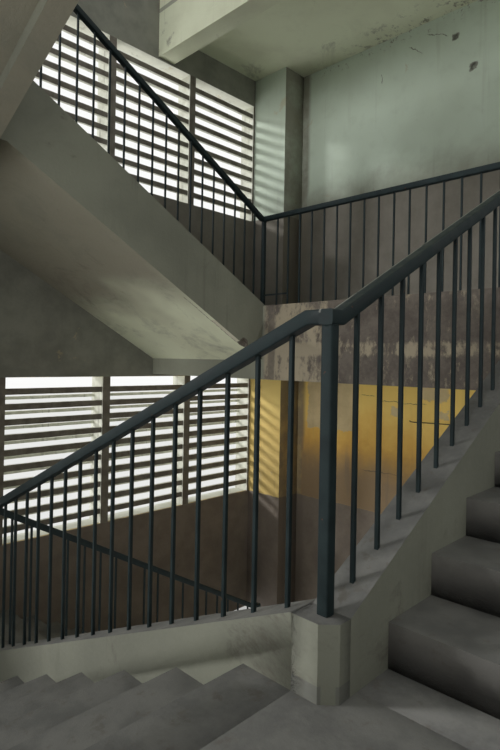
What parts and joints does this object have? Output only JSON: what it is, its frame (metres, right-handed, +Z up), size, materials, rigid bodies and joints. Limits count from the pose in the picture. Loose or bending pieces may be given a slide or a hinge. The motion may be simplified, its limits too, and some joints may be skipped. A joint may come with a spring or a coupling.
{
  "type": "open well concrete stair with steel railings",
  "caption": "Concrete stair that climbs round an open well, with flights, landings, galleries, painted steel railings and a louvred wall.",
  "frame": {"origin": "on the ground under the middle of the stair well", "axes": "+Z up, +Y towards the louvred wall, +X towards the gallery wall"},
  "size_m": [7.5, 7, 9.24],
  "materials": {
    "railing_paint": "worn gloss",
    "concrete": "stained plaster",
    "plaster": "stained paint on plaster",
    "cement_steps": "worn cement"
  },
  "bodies": {
    "root": {"column_near_left": "plaster", "column_near_right": "plaster", "column_far_left": "plaster", "column_far_right": "plaster", "louvre_wall_lower_band": "plaster", "louvre_wall_middle_band": "plaster", "louvre_wall_top_band": "plaster", "louvre_mullions_lower": "concrete", "louvre_mullions_upper": "concrete", "louvre_blades_lower": "concrete", "louvre_blades_upper": "concrete", "gallery_wall": "plaster", "near_band_1": "plaster", "near_band_2": "plaster", "left_band_1": "plaster", "left_band_2": "plaster", "landing_1": "concrete", "landing_2": "concrete", "gallery_1": "concrete", "landing_3": "concrete", "landing_4": "concrete", "gallery_2": "concrete", "flight_1": "concrete", "flight_2": "concrete", "flight_3": "concrete", "flight_4": "concrete", "flight_5": "concrete", "flight_6": "concrete", "steps_1": "cement_steps", "steps_2": "cement_steps", "steps_3": "cement_steps", "steps_4": "cement_steps", "steps_5": "cement_steps", "steps_6": "cement_steps", "newel_posts": "railing_paint", "railing_1": "railing_paint", "railing_2": "railing_paint", "railing_3": "railing_paint", "railing_4": "railing_paint", "railing_5": "railing_paint", "railing_6": "railing_paint", "gallery_railing_1": "railing_paint", "gallery_railing_2": "railing_paint", "near_railings": "railing_paint", "left_railings": "railing_paint"}
  },
  "joints": []
}
